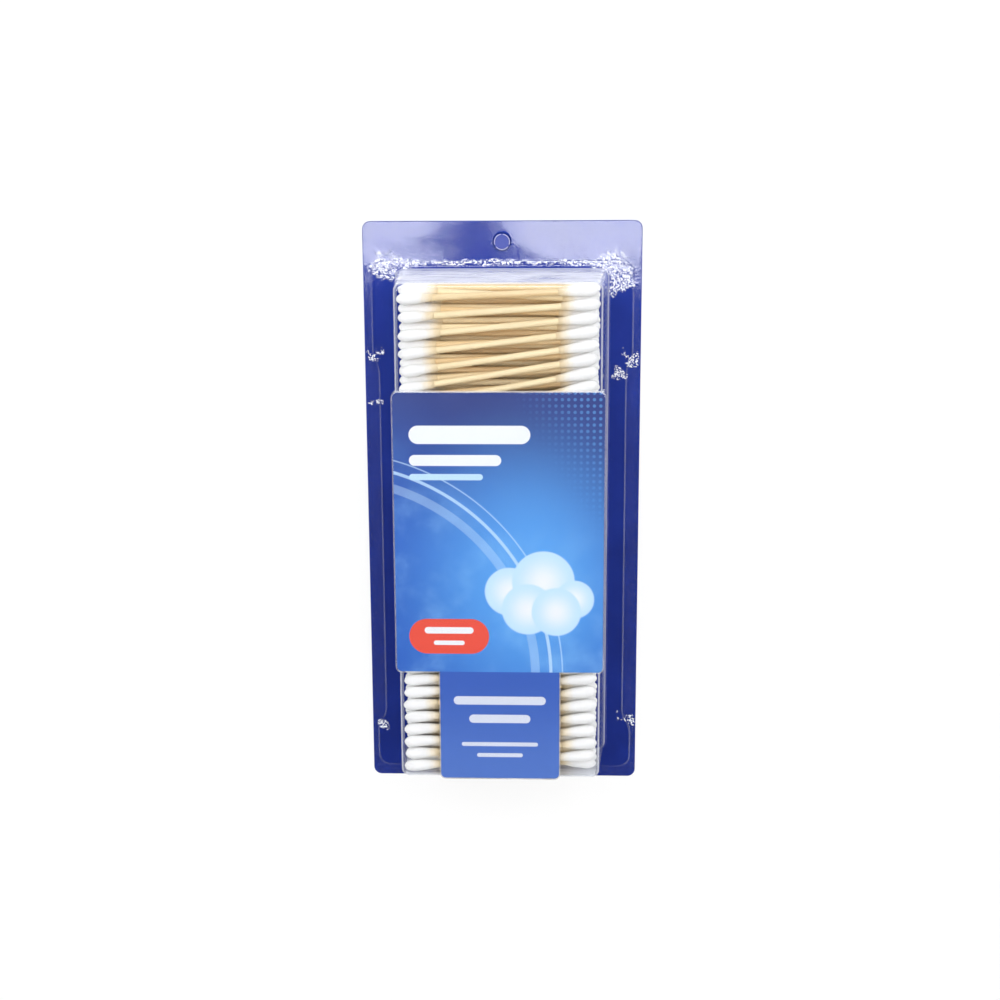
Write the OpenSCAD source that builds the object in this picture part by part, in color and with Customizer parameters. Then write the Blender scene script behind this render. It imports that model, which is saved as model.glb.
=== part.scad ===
// Sealed blister pack of double-ended cotton swabs, lying on its back.
// X runs across the pack, Y up the pack towards its hang hole, Z out of its front.
// The origin is the middle of the card's back face.

/* [Backing card] */
// Width of the card
card_w = 111; // [100:0.5:125]
// Height of the card
card_h = 232; // [200:1:260]
// Thickness of the card
card_t = 0.5; // [0.3:0.05:0.8]
// Radius of the card's corners
card_corner_r = 3.2; // [1:0.1:6]

/* [Hang hole] */
// Diameter of the die-cut disc that is still in the card
disc_d = 5.8; // [5:0.1:6.6]
// Distance from the card's top edge down to the middle of the disc
disc_drop = 8.3; // [7:0.1:10]
// Width of the die-cut slit round the disc
slit_w = 0.2; // [0.1:0.05:0.3]
// Number of nicks that hold the disc in the card
nick_count = 3; // [2:1:4]
// Width of each nick
nick_w = 0.8; // [0.5:0.1:1.5]
// Diameter of the hole in the film over the disc
film_hole_d = 7.6; // [7.4:0.1:9]
// How far the hole in the film sits above the disc
film_hole_shift = 0.5; // [0:0.1:0.6]

/* [Clear film] */
// Thickness of the clear film
film_t = 0.4; // [0.3:0.05:0.5]
// How far the film's edge stays inside the card's edge
film_margin = 0.3; // [0.1:0.1:1]

/* [Raised rim] */
// How far the unsealed film stands off the card round the tub
rim_rise = 0.7; // [0.4:0.1:1.2]
// Radius of the rim's corners
rim_corner_r = 5; // [3:0.5:6]
// Distance from the card's side edges in to the rim's head, beside the top of the tub
head_side = 3.3; // [2:0.1:4.5]
// Height of the rim's head
head_h = 38; // [30:1:50]
// Distance from the card's top edge down to the rim
head_drop = 15.8; // [14:0.2:16.6]
// Distance from the card's side edges in to the rim beside the middle of the tub
waist_side = 5.8; // [5:0.1:6.5]
// Distance from the card's side edges in to the rim's foot, beside the bottom of the tub
foot_side = 2.5; // [2:0.1:4.5]
// Height of the rim's foot
foot_h = 18; // [14:1:26]
// Distance from the card's bottom edge up to the rim
foot_rise = 4.6; // [3:0.2:5.4]

/* [Tub] */
// Distance from the card's side edges in to the tub's front face
tub_side = 16.5; // [15.5:0.1:16.7]
// Distance from the card's face to the tub's front face
tub_depth = 42.5; // [41.5:0.5:50]
// Distance from the card's top edge down to the top of the tub's front face
tub_drop = 22.2; // [21.8:0.2:23.4]
// Distance from the card's bottom edge up to the bottom of the tub's front face
tub_rise = 16.2; // [15:0.2:19]
// Draft angle of the tub's walls
tub_draft = 4.5; // [3:0.5:6]
// Radius of the tub's upright corners at its front face
tub_corner_r = 3; // [2.5:0.1:5]
// Radius of the bend between the walls and the front face
tub_edge_r = 1.6; // [1:0.1:2.2]
// Radius of the bend between the walls and the rim
tub_root_r = 1.4; // [0.8:0.1:2]

/* [Label pocket] */
// How far the pocket stands out of the tub's front face
pocket_relief = 0.9; // [0.7:0.1:1.4]
// How far the pocket's band swells each side wall
band_swell = 1.5; // [1.1:0.1:2]
// Distance from the top of the tub's front face down to the band
band_drop = 40.2; // [34:0.2:44]
// Distance from the bottom of the tub's front face up to the band
band_rise = 43; // [38:0.5:50]
// Distance from the sides of the tub's front face in to the tongue below the band
tongue_side = 15.2; // [9:0.2:19]
// How far the tongue runs past the bottom of the tub's front face
tongue_overhang = 0.8; // [0.4:0.1:1]
// Radius of the pocket's corners
pocket_corner_r = 2.4; // [1.6:0.1:4]
// Radius of the pocket's front edges
pocket_edge_r = 0.8; // [0.6:0.1:1]
// Draft angle of the pocket's walls
pocket_draft = 0.5; // [0.2:0.1:1]

/* [Label card] */
// Thickness of the label card
label_t = 0.35; // [0.25:0.05:0.4]
// Gap between the label card and the film round it
label_gap = 0.1; // [0.05:0.05:0.2]

/* [Swabs] */
// Free room between each end of a swab in the middle and the tub's wall
swab_room = 0.6; // [0.4:0.1:2]
// Diameter of the wooden stick
stick_d = 2.5; // [2:0.1:2.8]
// Largest diameter of a cotton tip
tip_d = 4.65; // [4.4:0.05:4.75]
// Length of a cotton tip
tip_l = 15; // [12:0.5:18]
// Length of the rounded end of a tip
tip_round_l = 3.6; // [2.4:0.1:5]
// Thickness of cotton over the stick's end
tip_cap = 1.2; // [0.8:0.1:2]
// Thickness of cotton where a tip begins on its stick
tip_feather = 0.12; // [0.08:0.02:0.3]
// How slowly a tip swells from its start
tip_taper = 1.5; // [1:0.1:2]
// Gap between a tip and its stick
tip_fit = 0.02; // [0.01:0.01:0.05]

/* [Packing of the swabs] */
// Gap between neighbouring tips in a neat layer
neat_gap = 0.08; // [0.05:0.01:0.1]
// Gap between neighbouring tips in a loose layer
loose_gap = 0.26; // [0.2:0.02:0.4]
// Gap between a loose layer and the layer under it
loose_rise_gap = 0.1; // [0.05:0.05:0.3]
// Gap between the outermost tips and what they lie against
wall_gap = 0.2; // [0.1:0.05:0.3]
// Free space between the front layer and the tub's front face
head_room = 0.8; // [0.4:0.1:1.5]
// Share of the free width that the swabs slide sideways by
slide_share = 0.8; // [0:0.1:0.9]
// Slope of the front swabs at the top, the steepest place and the foot
front_slopes = [2.5, 12, 4];
// Slope of the second layer's swabs at the same three places
second_slopes = [-3, 7, -3];
// How far down the pack the swabs lie steepest, as a share of its height
steep_place = 0.3; // [0.2:0.05:0.5]

/* [Hidden] */
$fn = 48;
// Turn of a tip's rounded end, past which it is flat
tip_round_turn = 80;
// Layers that lie neatly nested, counted from the card
neat_layers = 7;
// Layers that lie loose at the front
loose_layers = 2;
layer_count = neat_layers + loose_layers;

// Heights above the card's back
rim_top = card_t + rim_rise + film_t;
tub_top = card_t + tub_depth;
pocket_top = tub_top + pocket_relief;
// The pocket's walls run down inside the tub's walls to this height
pocket_base = card_t + tub_depth / 4;
// Cutters run past what they cut by this much
cut = 0.5;
// Sizes that follow the card
head_w = card_w - 2 * head_side;
waist_w = card_w - 2 * waist_side;
foot_w = card_w - 2 * foot_side;
tub_w = card_w - 2 * tub_side;
tub_h = card_h - tub_drop - tub_rise;
band_w = tub_w + 2 * band_swell;
band_h = tub_h - band_drop - band_rise;
tongue_w = tub_w - 2 * tongue_side;
// Places up the pack
tub_y = card_h / 2 - tub_drop - tub_h / 2;
disc_y = card_h / 2 - disc_drop;
film_hole_y = disc_y + film_hole_shift;
head_y = card_h / 2 - head_drop - head_h / 2;
foot_y = foot_rise + foot_h / 2 - card_h / 2;
rim_top_y = card_h / 2 - head_drop;
rim_bottom_y = foot_rise - card_h / 2;
band_y = tub_y + tub_h / 2 - band_drop - band_h / 2;
tongue_top_y = band_y;
tongue_bottom_y = tub_y - tub_h / 2 - tongue_overhang;
tongue_y = (tongue_top_y + tongue_bottom_y) / 2;
tongue_h = tongue_top_y - tongue_bottom_y;

// Room inside the tub at its narrow front
room_w = tub_w - 2 * film_t;
room_top_y = tub_y + tub_h / 2 - film_t;
room_h = tub_h - 2 * film_t;
// Length of a swab over both tips
swab_l = room_w - 2 * swab_room;
side_play = slide_share * (room_w - swab_l) / 2;

// Swab layers
pitch = tip_d + neat_gap;
neat_count = floor((room_h - 2 * wall_gap - tip_d - pitch / 2) / pitch) + 1;
loose_rise = tip_d + loose_rise_gap;
neat_floor = card_t + wall_gap + tip_d / 2;
loose_top = tub_top - film_t - head_room - tip_d / 2;
neat_rise = (loose_top - loose_layers * loose_rise - neat_floor) / (neat_layers - 1);

// Points on an arc about c, from angle a to angle b in n steps
function arc(c, r, a, b, n = 6) =
    [for (i = [0 : n]) let (t = a + (b - a) * i / n) c + r * [cos(t), sin(t)]];

// Outline of a w by h rectangle with rounded corners
function rounded(w, h, r) =
    let (x = w / 2 - r, y = h / 2 - r)
    concat(arc([x, y], r, 0, 90), arc([-x, y], r, 90, 180),
           arc([-x, -y], r, 180, 270), arc([x, -y], r, 270, 360));

// Half section of a drafted tray, outwards from the axis of its corners.
// inset moves the whole skin inwards, so that two sections bound a film.
function tray_section(top, base, corner_r, edge_r, root_r, draft, inset) =
    let (lean = (1 - sin(draft)) / cos(draft),
         edge_c = [corner_r - edge_r * lean, top - edge_r],
         foot_r = corner_r + (top - base) * tan(draft),
         root_c = [foot_r + root_r * lean, base + root_r],
         floor_z = base - inset - cut * sign(inset))
    concat([[0, floor_z]],
           root_r > 0 ? [[root_c[0], floor_z]] : [[foot_r - inset / cos(draft), floor_z]],
           root_r > 0 ? arc(root_c, root_r + inset, 270, 180 + draft, 5) : [],
           arc(edge_c, edge_r - inset, draft, 90, 5),
           [[0, top - inset]]);

// A section swept round a rounded rectangle whose front face is w by h
module tray(w, h, corner_r, section) {
    x = w / 2 - corner_r;
    y = h / 2 - corner_r;
    across = [for (p = section) [p[0] + x, p[1]]];
    mirrored = [for (i = [len(section) - 1 : -1 : 0]) [-section[i][0] - x, section[i][1]]];
    translate([0, y, 0])
        rotate([90, 0, 0])
            linear_extrude(2 * y) polygon(concat(across, mirrored));
    for (side = [-1, 1])
        translate([-side * x, side * y, 0])
            rotate([90, 0, side * 90])
                linear_extrude(2 * x) polygon(section);
    for (turn = [0 : 3])
        translate([(turn == 0 || turn == 3 ? 1 : -1) * x, (turn < 2 ? 1 : -1) * y, 0])
            rotate([0, 0, turn * 90])
                rotate_extrude(angle = 90) polygon(section);
}

// The tub's outer skin at no inset, its inside at one film thickness
module tub_form(inset) {
    translate([0, tub_y, 0])
        tray(tub_w, tub_h, tub_corner_r,
             tray_section(tub_top, rim_top, tub_corner_r, tub_edge_r, tub_root_r, tub_draft, inset));
}

// The label pocket's band and tongue, at the same insets
module pocket_form(inset) {
    section = tray_section(pocket_top, pocket_base, pocket_corner_r, pocket_edge_r, 0,
                           pocket_draft, inset);
    translate([0, band_y, 0]) tray(band_w, band_h, pocket_corner_r, section);
    translate([0, tongue_y, 0]) tray(tongue_w, tongue_h, pocket_corner_r, section);
}

// Outline of the unsealed film: a head, a waist and a foot
module rim_outline(inset) {
    r = rim_corner_r - inset;
    waist_h = rim_top_y - rim_bottom_y - 2 * rim_corner_r;
    translate([0, head_y]) polygon(rounded(head_w - 2 * inset, head_h - 2 * inset, r));
    translate([0, foot_y]) polygon(rounded(foot_w - 2 * inset, foot_h - 2 * inset, r));
    translate([0, (rim_top_y + rim_bottom_y) / 2])
        square([waist_w - 2 * inset, waist_h], center = true);
}

// Die-cut slit round the hang hole's disc, broken by the nicks
module disc_slit() {
    difference() {
        circle(d = disc_d + 2 * slit_w);
        circle(d = disc_d);
        for (i = [0 : nick_count - 1])
            rotate(90 + 360 * i / nick_count)
                translate([disc_d / 2, 0]) square([4 * slit_w, nick_w], center = true);
    }
}

module backing_card() {
    color([0.15, 0.22, 0.55])
        difference() {
            linear_extrude(card_t) polygon(rounded(card_w, card_h, card_corner_r));
            translate([0, disc_y, -cut]) linear_extrude(card_t + 2 * cut) disc_slit();
        }
}

module clear_blister() {
    color([0.8, 0.85, 0.95, 0.35])
        difference() {
            union() {
                translate([0, 0, card_t])
                    linear_extrude(film_t)
                        polygon(rounded(card_w - 2 * film_margin, card_h - 2 * film_margin,
                                        card_corner_r - film_margin));
                translate([0, 0, card_t]) linear_extrude(rim_rise + film_t) rim_outline(0);
                tub_form(0);
                pocket_form(0);
            }
            translate([0, 0, card_t - cut]) linear_extrude(rim_rise + cut) rim_outline(film_t);
            tub_form(film_t);
            pocket_form(film_t);
            translate([0, film_hole_y, card_t - cut]) cylinder(h = film_t + 2 * cut, d = film_hole_d);
        }
}

// Flat T that fills the pocket, right behind the film
module label_card() {
    trim = film_t + label_gap;
    r = pocket_corner_r - trim;
    z = pocket_top - film_t - label_gap - label_t;
    color([0.2, 0.35, 0.75])
        translate([0, 0, z])
            linear_extrude(label_t) {
                translate([0, band_y]) polygon(rounded(band_w - 2 * trim, band_h - 2 * trim, r));
                translate([0, tongue_y]) polygon(rounded(tongue_w - 2 * trim, tongue_h - 2 * trim, r));
            }
}

// Radius of a tip's skin, where t runs from 0 at the feathered start to 1 at the fullest place
function taper_r(t) =
    let (start = stick_d / 2 + tip_fit + tip_feather)
    start + (tip_d / 2 - start) * pow(sin(90 * t), tip_taper);

// Half section of a tip along its swab, with the stick's blind hole in it
function tip_section(steps = 5) =
    let (full = tip_l - tip_round_l,
         hole_r = stick_d / 2 + tip_fit,
         hole_l = tip_l - tip_cap)
    concat([[hole_r, 0]],
           [for (i = [0 : steps]) [taper_r(i / steps), full * i / steps]],
           [for (i = [1 : steps])
               let (t = tip_round_turn * i / steps)
               [tip_d / 2 * cos(t), full + tip_round_l * sin(t) / sin(tip_round_turn)]],
           [[0, tip_l], [0, hole_l], [hole_r, hole_l]]);

module stick() {
    rotate([0, 90, 0]) cylinder(h = swab_l - 2 * (tip_cap + tip_fit), d = stick_d, center = true);
}

module tips() {
    for (side = [-1, 1])
        translate([side * (swab_l / 2 - tip_l), 0, 0])
            rotate([0, side * 90, 0])
                rotate_extrude() polygon(tip_section());
}

// Slope at share u of the way down, rising to the steep place and easing off below it
function slope(slopes, u) =
    u < steep_place
        ? slopes[0] + (slopes[1] - slopes[0]) * sin(90 * u / steep_place)
        : slopes[2] + (slopes[1] - slopes[2]) * (1 + cos(180 * (u - steep_place) / (1 - steep_place))) / 2;

// Height that a fan of slopes takes beyond the tips' own diameters
function fan_height(s) =
    (abs(sin(s[1]) - sin(s[0])) + abs(sin(s[1]) - sin(s[2])) + abs(sin(s[0])) + abs(sin(s[2]))) * swab_l / 2;

function loose_pitch(s) = (tip_d + loose_gap) / cos(max(abs(s[0]), abs(s[1]), abs(s[2])));

function loose_count(s) =
    floor((room_h - 2 * wall_gap - tip_d - fan_height(s)) / loose_pitch(s)) + 1;

// Space that is left over, shared between the swabs of a loose layer
function loose_spare(s) =
    let (n = loose_count(s))
    (room_h - 2 * wall_gap - tip_d - fan_height(s) - (n - 1) * loose_pitch(s)) / (n - 1);

// Drop from the first swab of a loose layer to swab i
function loose_drop(s, i) =
    let (n = loose_count(s))
    i == 0 ? 0
           : loose_drop(s, i - 1) + loose_pitch(s) + loose_spare(s)
             + abs(sin(slope(s, i / (n - 1))) - sin(slope(s, (i - 1) / (n - 1)))) * swab_l / 2;

// Sideways slide of a swab, spread evenly over the free width
function slide(k, i) = side_play * sin(137 * i + 71 * k);

// Place and slope of each swab in layer k, as [x, y, z, slope]
function neat_places(k) =
    [for (i = [0 : neat_count - 1])
        [slide(k, i),
         room_top_y - wall_gap - tip_d / 2 - pitch * (i + (k % 2) / 2),
         neat_floor + (k - 1) * neat_rise,
         0]];

function loose_places(k, s) =
    let (n = loose_count(s))
    [for (i = [0 : n - 1])
        [slide(k, i) / 2,
         room_top_y - wall_gap - tip_d / 2 - abs(sin(s[0])) * swab_l / 2 - loose_drop(s, i),
         loose_top - (layer_count - k) * loose_rise,
         slope(s, i / (n - 1))]];

function places(k) =
    k <= neat_layers ? neat_places(k)
                     : loose_places(k, k == layer_count ? front_slopes : second_slopes);

module lay(k) {
    for (p = places(k))
        translate([p[0], p[1], p[2]]) rotate([0, 0, p[3]]) children();
}

module sticks_layer(k) {
    color([0.88, 0.78, 0.6]) lay(k) stick();
}

module cotton_tips_layer(k) {
    color([0.98, 0.97, 0.95]) lay(k) tips();
}

backing_card();
clear_blister();
label_card();
for (k = [1 : layer_count]) {
    sticks_layer(k);
    cotton_tips_layer(k);
}
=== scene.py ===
"""Dresses the cotton swab pack: clear film, printed label, blue board, wooden sticks and cotton tips.

Everything is in metres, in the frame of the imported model: X across the pack, Y up the pack towards
its hang hole, Z out of its front. The pack lies on its back, and the camera looks down on it.
"""

import logging
import math
import random
from dataclasses import dataclass
from enum import Enum
from typing import Any, Callable

import bmesh
import bpy
from mathutils import Matrix, Vector


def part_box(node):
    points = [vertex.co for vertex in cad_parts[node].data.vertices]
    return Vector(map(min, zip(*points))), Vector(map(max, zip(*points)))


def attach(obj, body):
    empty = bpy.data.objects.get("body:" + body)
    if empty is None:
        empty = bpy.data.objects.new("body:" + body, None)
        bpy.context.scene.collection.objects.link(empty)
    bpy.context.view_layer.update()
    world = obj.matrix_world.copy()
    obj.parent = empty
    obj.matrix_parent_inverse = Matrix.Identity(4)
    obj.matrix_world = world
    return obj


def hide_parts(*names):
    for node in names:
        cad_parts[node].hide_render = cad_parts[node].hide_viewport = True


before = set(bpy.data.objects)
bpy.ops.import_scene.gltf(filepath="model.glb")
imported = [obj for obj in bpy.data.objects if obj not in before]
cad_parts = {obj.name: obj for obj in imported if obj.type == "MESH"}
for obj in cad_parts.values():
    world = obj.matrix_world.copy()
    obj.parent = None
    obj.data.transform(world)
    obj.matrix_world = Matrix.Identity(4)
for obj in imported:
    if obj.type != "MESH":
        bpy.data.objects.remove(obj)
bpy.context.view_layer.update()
MM = 0.001
LAYERS = range(1, 10)

logging.basicConfig(level=logging.INFO, format="%(message)s")
log = logging.getLogger("swab_pack")

Colour = tuple[float, float, float]


class Pick(Enum):
    """What a selection takes."""

    VERT = "VERT"
    EDGE = "EDGE"
    FACE = "FACE"


class Sig:
    """A node socket or a plain number that takes part in shader maths."""

    def __init__(self, graph: "Graph", value: Any) -> None:
        """Holds a socket or number and the graph that new Math nodes go to."""
        self.graph = graph
        self.value = value

    def _math(self, operation: str, *values: Any) -> "Sig":
        """Adds one Math node on sockets or numbers and returns its wrapped result."""
        return self.graph.add("ShaderNodeMath", {"operation": operation}, dict(enumerate(values)))

    def __add__(self, other: Any) -> "Sig":
        """Sum."""
        return self._math("ADD", self, other)

    __radd__ = __add__

    def __sub__(self, other: Any) -> "Sig":
        """Difference."""
        return self._math("SUBTRACT", self, other)

    def __rsub__(self, other: Any) -> "Sig":
        """Reflected difference."""
        return self._math("SUBTRACT", other, self)

    def __mul__(self, other: Any) -> "Sig":
        """Product."""
        return self._math("MULTIPLY", self, other)

    __rmul__ = __mul__

    def __truediv__(self, other: Any) -> "Sig":
        """Quotient."""
        return self._math("DIVIDE", self, other)

    def __pow__(self, other: Any) -> "Sig":
        """Power."""
        return self._math("POWER", self, other)

    def __abs__(self) -> "Sig":
        """Absolute value."""
        return self._math("ABSOLUTE", self)

    def at_least(self, other: Any) -> "Sig":
        """Larger of the two."""
        return self._math("MAXIMUM", self, other)

    def wrap(self, low: float, high: float) -> "Sig":
        """Value wrapped round into a range."""
        return self._math("WRAP", self, high, low)

    def away(self, other: "Sig") -> "Sig":
        """Distance from a point, where the two are the distances across and up."""
        return self._math("SQRT", self * self + other * other)

    def step(self, low: float, high: float) -> "Sig":
        """Smooth step from 0 at low to 1 at high, or down again if low is the larger.

        Args:
            low: Value at which the result is 0.
            high: Value at which the result is 1.

        Returns:
            The wrapped result.
        """
        return self.graph.add(
            "ShaderNodeMapRange",
            {"interpolation_type": "SMOOTHSTEP"},
            {"Value": self, "From Min": low, "From Max": high, "To Min": 0.0, "To Max": 1.0},
        )


class Graph:
    """The node tree of a material or a world, built node by node."""

    def __init__(self, owner: bpy.types.ID) -> None:
        """Empties the node tree of a material or a world.

        Args:
            owner: The material or the world.
        """
        self.owner = owner
        owner.use_nodes = True
        self.tree = owner.node_tree
        self.tree.nodes.clear()

    @classmethod
    def material(cls, name: str) -> "Graph":
        """Returns the graph of a new material of that name."""
        return cls(bpy.data.materials.new(name))

    def add(self, kind: str, settings: dict[str, Any] | None = None,
            inputs: dict[Any, Any] | None = None, output: Any = 0) -> Sig:
        """Adds a node, sets it up and feeds its sockets.

        Args:
            kind: The node's type name.
            settings: Properties that are set first.
            inputs: Values or links by socket name or number.
            output: Name or number of the output that is returned.

        Returns:
            The wrapped output socket.
        """
        node = self.tree.nodes.new(kind)
        for key, value in (settings or {}).items():
            setattr(node, key, value)
        for key, value in (inputs or {}).items():
            value = value.value if isinstance(value, Sig) else value
            if isinstance(value, bpy.types.NodeSocket):
                self.tree.links.new(value, node.inputs[key])
            else:
                node.inputs[key].default_value = value
        return Sig(self, node.outputs[output] if node.outputs else None)

    def split(self, where: Sig) -> tuple[Sig, Sig, Sig]:
        """Returns a vector's three numbers."""
        return tuple(self.add("ShaderNodeSeparateXYZ", None, {0: where}, i) for i in range(3))

    def object_axes(self) -> tuple[Sig, Sig, Sig]:
        """Returns the object coordinates as three wrapped numbers in metres."""
        return self.split(self.add("ShaderNodeTexCoord", output="Object"))

    def own_axes(self) -> tuple[Sig, Sig, Sig]:
        """Returns a swab's own coordinates, from before it was laid in the tub."""
        kept = self.add("ShaderNodeAttribute", {"attribute_name": "own_place"}, output="Vector")
        return self.split(kept)

    def facing(self, axis: int) -> Sig:
        """Returns how far the surface faces along X, Y or Z, from -1 to 1."""
        normal = self.add("ShaderNodeNewGeometry", output="True Normal")
        return self.add("ShaderNodeSeparateXYZ", None, {0: normal}, axis)

    def vector(self, x: Any, y: Any, z: Any) -> Sig:
        """Joins three numbers into a vector."""
        return self.add("ShaderNodeCombineXYZ", None, {0: x, 1: y, 2: z})

    def noise(self, where: Any, scale: float, detail: float = 2.0, rough: float = 0.5) -> Sig:
        """Noise from 0 to 1 over a vector.

        Args:
            where: The wrapped vector, or its three numbers.
            scale: Bumps for each unit of the vector.
            detail: Octaves.
            rough: Strength of each next octave.

        Returns:
            The wrapped noise value.
        """
        where = where if isinstance(where, Sig) else self.vector(*where)
        return self.add("ShaderNodeTexNoise", None,
                        {"Vector": where, "Scale": scale, "Detail": detail, "Roughness": rough})

    def blend(self, share: Any, low: Any, high: Any) -> Sig:
        """Mixes two colours.

        Args:
            share: How much of the second colour shows.
            low: Colour at 0, as three numbers or a wrapped socket.
            high: Colour at 1.

        Returns:
            The wrapped colour.
        """
        pair = [(*c, 1.0) if isinstance(c, tuple) else c for c in (low, high)]
        return self.add("ShaderNodeMix", {"data_type": "RGBA", "clamp_factor": True},
                        {0: share, 6: pair[0], 7: pair[1]}, 2)

    def bump(self, height: Sig, depth: float) -> Sig:
        """Turns a height from 0 to 1, and its depth in metres, into a normal."""
        return self.add("ShaderNodeBump", None, {"Height": height, "Distance": depth, "Strength": 1.0})

    def shader(self, colour: Any, roughness: float, normal: Sig | None, specular: float) -> Sig:
        """Adds a plain principled shader.

        Args:
            colour: Three numbers or a wrapped colour.
            roughness: The surface's roughness.
            normal: A wrapped normal, or None for the mesh's own.
            specular: The specular level.

        Returns:
            The wrapped shader.
        """
        inputs = {"Base Color": (*colour, 1.0) if isinstance(colour, tuple) else colour,
                  "Roughness": roughness, "Specular IOR Level": specular}
        if normal is not None:
            inputs["Normal"] = normal
        return self.add("ShaderNodeBsdfPrincipled", None, inputs)

    def finish_with(self, shader: Sig) -> bpy.types.Material:
        """Joins the shader to the output and returns the material."""
        self.add("ShaderNodeOutputMaterial", None, {"Surface": shader})
        return self.owner


@dataclass(frozen=True)
class BoardFinish:
    """Printed board: deep blue on its front and edge, plain greyish board on its back."""

    ink: Colour = (0.008, 0.023, 0.205)
    pale_ink_and_top_light: Colour = (0.014, 0.04, 0.33)
    hole_edge_shadow: Colour = (0.006, 0.012, 0.07)
    disc_painted_sheen: Colour = (0.075, 0.095, 0.34)
    board: Colour = (0.62, 0.61, 0.58)
    roughness: float = 0.42
    gloss: float = 0.06
    tooth: float = 0.00002
    grain_scale: float = 2600.0
    cloud_scale: float = 34.0
    disc: tuple[float, float] = (107.7, 2.9)
    # Radius and width of the painted shadow at the edge of the film's hang hole.
    ring: tuple[float, float] = (3.55, 0.3)

    def build(self) -> bpy.types.Material:
        """Builds the board's nodes.

        Returns:
            The material.
        """
        g = Graph.material("blue board")
        x, y, z = g.object_axes()
        where = g.vector(x, y, z)
        grain = g.noise(where, self.grain_scale, 2.0)
        cloud = g.noise(where, self.cloud_scale, 4.0, 0.6)
        fibres = g.noise((x * 900.0, y * 220.0, z * 900.0), 1.0, 3.0)
        # The blue is painted paler towards the top of the pack as painted light, brighter towards the
        # head; the cloud is the print's own uneven tone. From here on ink also carries painted light.
        height = (y / MM).step(-60.0, 110.0)
        ink = g.blend(cloud.step(0.3, 0.75) * 0.5 + height * 0.5, self.ink, self.pale_ink_and_top_light)
        out = (x / MM).away(y / MM - self.disc[0])
        # The hang hole's knock-out disc is the same board and ink, painted paler as a painted sheen.
        ink = g.blend(out.step(self.disc[1], self.disc[1] - 0.1), ink, self.disc_painted_sheen)
        # A dark ring round the disc is a painted shadow at the edge of the film's hang hole.
        ink = g.blend(abs(out - self.ring[0]).step(self.ring[1], self.ring[1] * 0.4), ink, self.hole_edge_shadow)
        colour = g.blend(g.facing(2).step(-0.6, -0.4), self.board, ink)
        normal = g.bump(grain * 0.6 + fibres * 0.4, self.tooth)
        return g.finish_with(g.shader(colour, self.roughness, normal, self.gloss))


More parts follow.
